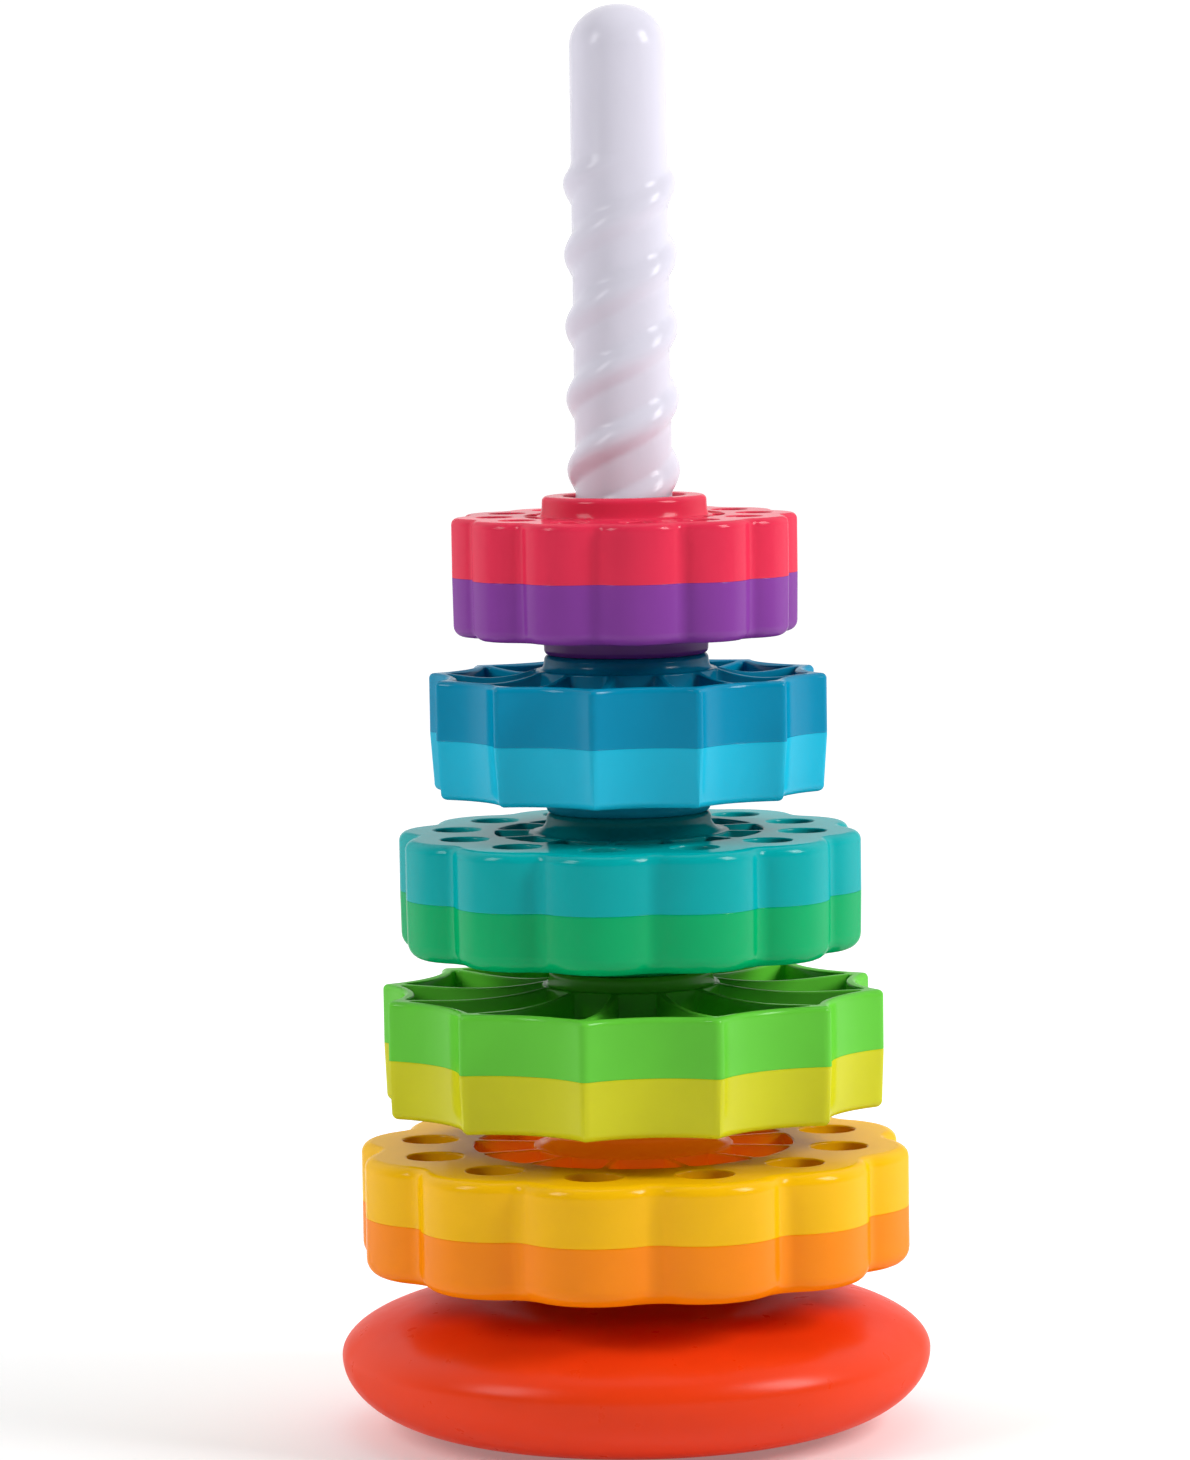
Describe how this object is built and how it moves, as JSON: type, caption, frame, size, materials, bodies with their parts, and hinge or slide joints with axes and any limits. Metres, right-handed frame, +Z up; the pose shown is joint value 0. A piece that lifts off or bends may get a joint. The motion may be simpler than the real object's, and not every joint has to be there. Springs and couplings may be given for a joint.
{
  "type": "stacking ring toy",
  "caption": "Stacking toy: a spiral-ridged pole on a round base carries petal and star shaped rings that spin down its thread.",
  "frame": {"origin": "centre of the base on the floor", "axes": "+Z up along the pole, -Y towards the viewer"},
  "size_m": [0.15, 0.15, 0.36],
  "materials": {
    "base_red": "fine eggshell texture",
    "pole_white": "smooth, glossy",
    "foot_rubber": "soft, non-slip",
    "screw_steel": "zinc plated",
    "sleeve_white": "plain moulded",
    "ring_1_upper_color": "golden yellow, satin gloss",
    "ring_1_lower_color": "orange, satin gloss",
    "ring_2_upper_color": "grass green, satin gloss",
    "ring_2_lower_color": "chartreuse, satin gloss",
    "ring_3_upper_color": "turquoise, satin gloss",
    "ring_3_lower_color": "emerald green, satin gloss",
    "ring_4_upper_color": "cerulean blue, satin gloss",
    "ring_4_lower_color": "light sky blue, satin gloss",
    "ring_5_upper_color": "raspberry pink, satin gloss",
    "ring_5_lower_color": "purple, satin gloss"
  },
  "bodies": {
    "base_and_pole": {"base_shell": "base_red", "base_cover": "base_red", "cover_screws": "screw_steel", "foot_ring": "foot_rubber", "pole": "pole_white", "pole_screw": "screw_steel"},
    "ring_1_hub": {"ring_1_hub_sleeve": "sleeve_white"},
    "ring_1_shells": {"ring_1_upper_shell": "ring_1_upper_color", "ring_1_lower_shell": "ring_1_lower_color"},
    "ring_2_hub": {"ring_2_hub_sleeve": "sleeve_white"},
    "ring_2_shells": {"ring_2_upper_shell": "ring_2_upper_color", "ring_2_lower_shell": "ring_2_lower_color"},
    "ring_3_hub": {"ring_3_hub_sleeve": "sleeve_white"},
    "ring_3_shells": {"ring_3_upper_shell": "ring_3_upper_color", "ring_3_lower_shell": "ring_3_lower_color"},
    "ring_4_hub": {"ring_4_hub_sleeve": "sleeve_white"},
    "ring_4_shells": {"ring_4_upper_shell": "ring_4_upper_color", "ring_4_lower_shell": "ring_4_lower_color"},
    "ring_5_hub": {"ring_5_hub_sleeve": "sleeve_white"},
    "ring_5_shells": {"ring_5_upper_shell": "ring_5_upper_color", "ring_5_lower_shell": "ring_5_lower_color"}
  },
  "joints": [
    {"name": "ring_1_lift", "type": "slide", "parent": "base_and_pole", "child": "ring_1_hub", "axis": [0, 0, 1], "range_m": [0, 0.328]},
    {"name": "ring_1_spin", "type": "hinge", "parent": "ring_1_hub", "child": "ring_1_shells", "pos_m": [0, 0, 0], "axis": [0, 0, 1], "range_deg": [0, 3280]},
    {"name": "ring_2_lift", "type": "slide", "parent": "ring_1_shells", "child": "ring_2_hub", "axis": [0, 0, 1], "range_m": [0, 0.288]},
    {"name": "ring_2_spin", "type": "hinge", "parent": "ring_2_hub", "child": "ring_2_shells", "pos_m": [0, 0, 0], "axis": [0, 0, 1], "range_deg": [0, 2880]},
    {"name": "ring_3_lift", "type": "slide", "parent": "ring_2_shells", "child": "ring_3_hub", "axis": [0, 0, 1], "range_m": [0, 0.248]},
    {"name": "ring_3_spin", "type": "hinge", "parent": "ring_3_hub", "child": "ring_3_shells", "pos_m": [0, 0, 0], "axis": [0, 0, 1], "range_deg": [0, 2480]},
    {"name": "ring_4_lift", "type": "slide", "parent": "ring_3_shells", "child": "ring_4_hub", "axis": [0, 0, 1], "range_m": [0, 0.208]},
    {"name": "ring_4_spin", "type": "hinge", "parent": "ring_4_hub", "child": "ring_4_shells", "pos_m": [0, 0, 0], "axis": [0, 0, 1], "range_deg": [0, 2080]},
    {"name": "ring_5_lift", "type": "slide", "parent": "ring_4_shells", "child": "ring_5_hub", "axis": [0, 0, 1], "range_m": [0, 0.168]},
    {"name": "ring_5_spin", "type": "hinge", "parent": "ring_5_hub", "child": "ring_5_shells", "pos_m": [0, 0, 0], "axis": [0, 0, 1], "range_deg": [0, 1680]}
  ],
  "couplings": [
    {"joint": "ring_1_spin", "follows": "ring_1_lift", "rad_per_m": 174.53},
    {"joint": "ring_2_spin", "follows": "ring_2_lift", "rad_per_m": 174.53},
    {"joint": "ring_3_spin", "follows": "ring_3_lift", "rad_per_m": 174.53},
    {"joint": "ring_4_spin", "follows": "ring_4_lift", "rad_per_m": 174.53},
    {"joint": "ring_5_spin", "follows": "ring_5_lift", "rad_per_m": 174.53}
  ]
}
